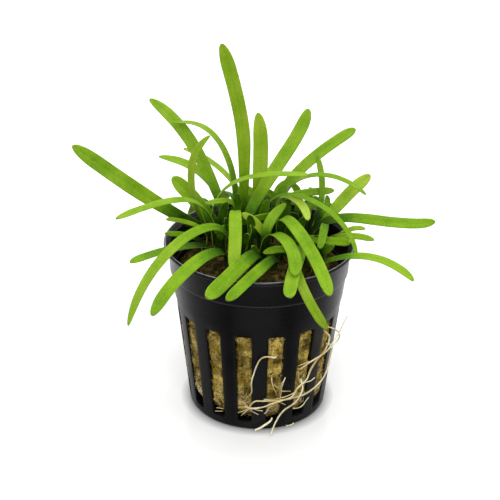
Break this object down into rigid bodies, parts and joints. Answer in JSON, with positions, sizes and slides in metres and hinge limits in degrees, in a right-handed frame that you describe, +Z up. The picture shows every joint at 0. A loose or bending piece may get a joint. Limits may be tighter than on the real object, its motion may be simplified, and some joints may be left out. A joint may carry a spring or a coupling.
{
  "type": "potted sagittaria",
  "caption": "Clump of strap-leaved sagittaria growing in rockwool in a slotted black net pot, with pale roots out through the slots; stands on its base.",
  "frame": {"origin": "middle of the underside of the pot's base, on the surface that it stands on", "axes": "+Z up along the pot's axis; -Y is the front that the picture shows; +X is the picture's right"},
  "size_m": [0.0995, 0.0765, 0.1022],
  "materials": {
    "pot": "satin black moulded plastic",
    "rockwool": "matted mineral fibre, olive brown",
    "leaf": "fleshy green leaf, satin, with fine lengthwise veins",
    "root": "cream to tan root skin, dull"
  },
  "bodies": {
    "root": {"leaf_back_centre": "leaf", "leaf_back_centre_left": "leaf", "leaf_back_centre_right": "leaf", "leaf_back_far_left": "leaf", "leaf_back_far_right": "leaf", "leaf_back_left": "leaf", "leaf_back_right": "leaf", "leaf_back_short": "leaf", "leaf_centre_arched": "leaf", "leaf_centre_inner": "leaf", "leaf_centre_left_short": "leaf", "leaf_centre_nodding": "leaf", "leaf_front_bright": "leaf", "leaf_front_hanging": "leaf", "leaf_front_inner": "leaf", "leaf_front_left_longest": "leaf", "leaf_front_left_wide": "leaf", "leaf_front_narrow": "leaf", "leaf_front_pale": "leaf", "leaf_front_right_low": "leaf", "leaf_front_right_wide": "leaf", "leaf_front_wide": "leaf", "leaf_left_arched": "leaf", "leaf_left_blunt": "leaf", "leaf_left_curled": "leaf", "leaf_left_high": "leaf", "leaf_left_hooked": "leaf", "leaf_left_longest": "leaf", "leaf_left_low": "leaf", "leaf_left_narrow_high": "leaf", "leaf_left_rim_lower": "leaf", "leaf_left_rim_upper": "leaf", "leaf_left_short_high": "leaf", "leaf_rear_right_narrow": "leaf", "leaf_rear_short_left": "leaf", "leaf_rear_short_right": "leaf", "leaf_right_arched": "leaf", "leaf_right_blunt": "leaf", "leaf_right_drooping": "leaf", "leaf_right_high": "leaf", "leaf_right_hooked": "leaf", "leaf_right_inner_level": "leaf", "leaf_right_inner_nodding": "leaf", "leaf_right_inner_short": "leaf", "leaf_right_longest": "leaf", "leaf_right_rim_lower": "leaf", "leaf_right_rim_middle": "leaf", "leaf_right_rim_upper": "leaf", "leaf_right_steep": "leaf", "leaf_tallest": "leaf", "leaf_upright": "leaf", "pot": "pot", "rockwool": "rockwool", "root_foot_thick": "root", "root_free_tip": "root", "root_front_hook": "root", "root_lower": "root", "root_main": "root", "root_to_floor": "root"}
  },
  "joints": []
}
